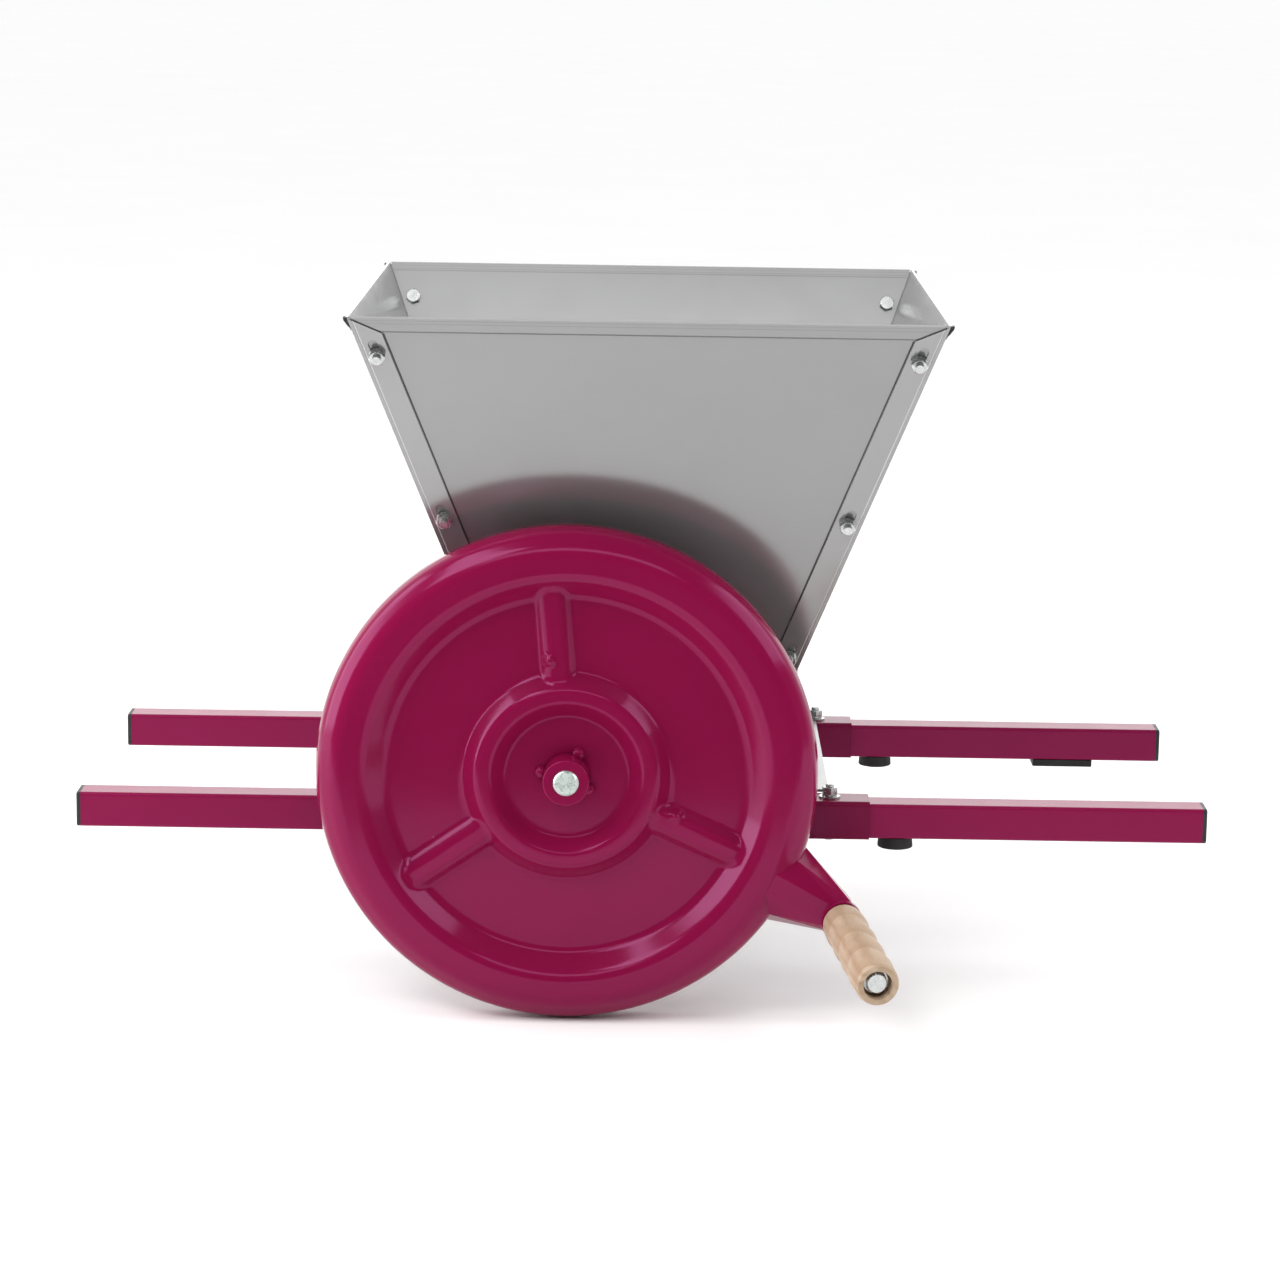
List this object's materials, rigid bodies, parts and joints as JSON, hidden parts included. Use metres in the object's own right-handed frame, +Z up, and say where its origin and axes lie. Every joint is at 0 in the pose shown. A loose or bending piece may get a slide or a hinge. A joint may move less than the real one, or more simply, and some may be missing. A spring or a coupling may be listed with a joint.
{
  "type": "fruit crusher",
  "caption": "Hand-cranked fruit crusher: open sheet-steel hopper over two geared toothed rollers, on two rails, with a dished flywheel and a wooden crank handle.",
  "frame": {"origin": "midway between the two rails, in the plane of the undersides of the rubber feet, which is the rim of the vessel the crusher stands over", "axes": "+X along the rails, -Y towards the flywheel, +Z up"},
  "size_m": [0.804, 0.5287, 0.4959],
  "materials": {
    "maroon_paint": "gloss",
    "stainless_sheet": "satin",
    "zinc_hardware": "satin",
    "black_plastic": "matte",
    "black_rubber": "matte",
    "beech": "varnished",
    "bronze": "satin",
    "cast_iron": "matte",
    "cast_aluminium": "satin",
    "machined_steel": "satin"
  },
  "bodies": {
    "frame": {"arm_front_left": "maroon_paint", "arm_front_right": "maroon_paint", "arm_back_left": "maroon_paint", "arm_back_right": "maroon_paint", "channel_front": "maroon_paint", "channel_back": "maroon_paint", "arm_end_caps": "black_plastic", "rubber_feet": "black_rubber", "foot_screws": "zinc_hardware", "rest_pad": "black_rubber", "rail_bolts": "zinc_hardware", "rail_washers": "zinc_hardware", "rail_spring_washers": "zinc_hardware", "rail_nuts": "zinc_hardware", "hopper_front_panel": "stainless_sheet", "hopper_back_panel": "stainless_sheet", "hopper_left_panel": "stainless_sheet", "hopper_right_panel": "stainless_sheet", "hopper_corner_bolts": "zinc_hardware", "hopper_corner_washers": "zinc_hardware", "hopper_corner_nuts": "zinc_hardware", "hopper_skirt_screws": "zinc_hardware", "hopper_skirt_nuts": "zinc_hardware", "bearing_plate_front": "stainless_sheet", "bearing_plate_back": "stainless_sheet", "housing_wall_left": "stainless_sheet", "housing_wall_right": "stainless_sheet", "support_brackets": "stainless_sheet", "housing_bolts": "zinc_hardware", "housing_nuts": "zinc_hardware", "bearing_flanges": "cast_iron", "bearing_bushes": "bronze", "bearing_screws": "zinc_hardware", "gear_cover": "stainless_sheet", "cover_standoff": "zinc_hardware", "cover_screws": "zinc_hardware"},
    "drive": {"flywheel": "maroon_paint", "crank_lug": "maroon_paint", "hub_collar": "maroon_paint", "hub_grub_screw": "zinc_hardware", "drive_shaft": "machined_steel", "drive_roller_core": "cast_aluminium", "drive_crushing_discs": "machined_steel", "drive_gear": "cast_iron", "drive_keys": "zinc_hardware", "drive_gear_washer": "zinc_hardware", "drive_gear_bolt": "zinc_hardware", "handle_bolt": "zinc_hardware", "handle_nut": "zinc_hardware", "handle_washers": "zinc_hardware"},
    "idler": {"idler_shaft": "machined_steel", "idler_roller_core": "cast_aluminium", "idler_crushing_discs": "machined_steel", "idler_gear": "cast_iron", "idler_key": "zinc_hardware", "idler_gear_washer": "zinc_hardware", "idler_gear_bolt": "zinc_hardware", "idler_set_collar": "zinc_hardware", "idler_collar_screw": "zinc_hardware"},
    "grip": {"wooden_grip": "beech"}
  },
  "joints": [
    {"name": "flywheel_spin", "type": "hinge", "parent": "frame", "child": "drive", "pos_m": [-0.0525, 0, 0.0608], "axis": [0, -1, 0], "continuous": true},
    {"name": "idler_spin", "type": "hinge", "parent": "frame", "child": "idler", "pos_m": [0.0525, 0, 0.0608], "axis": [0, -1, 0], "continuous": true},
    {"name": "grip_spin", "type": "hinge", "parent": "drive", "child": "grip", "pos_m": [0.1418, -0.198, -0.0384], "axis": [0.1355, -0.9893, -0.0533], "continuous": true}
  ],
  "couplings": [
    {"joint": "idler_spin", "follows": "flywheel_spin", "ratio": -1}
  ]
}
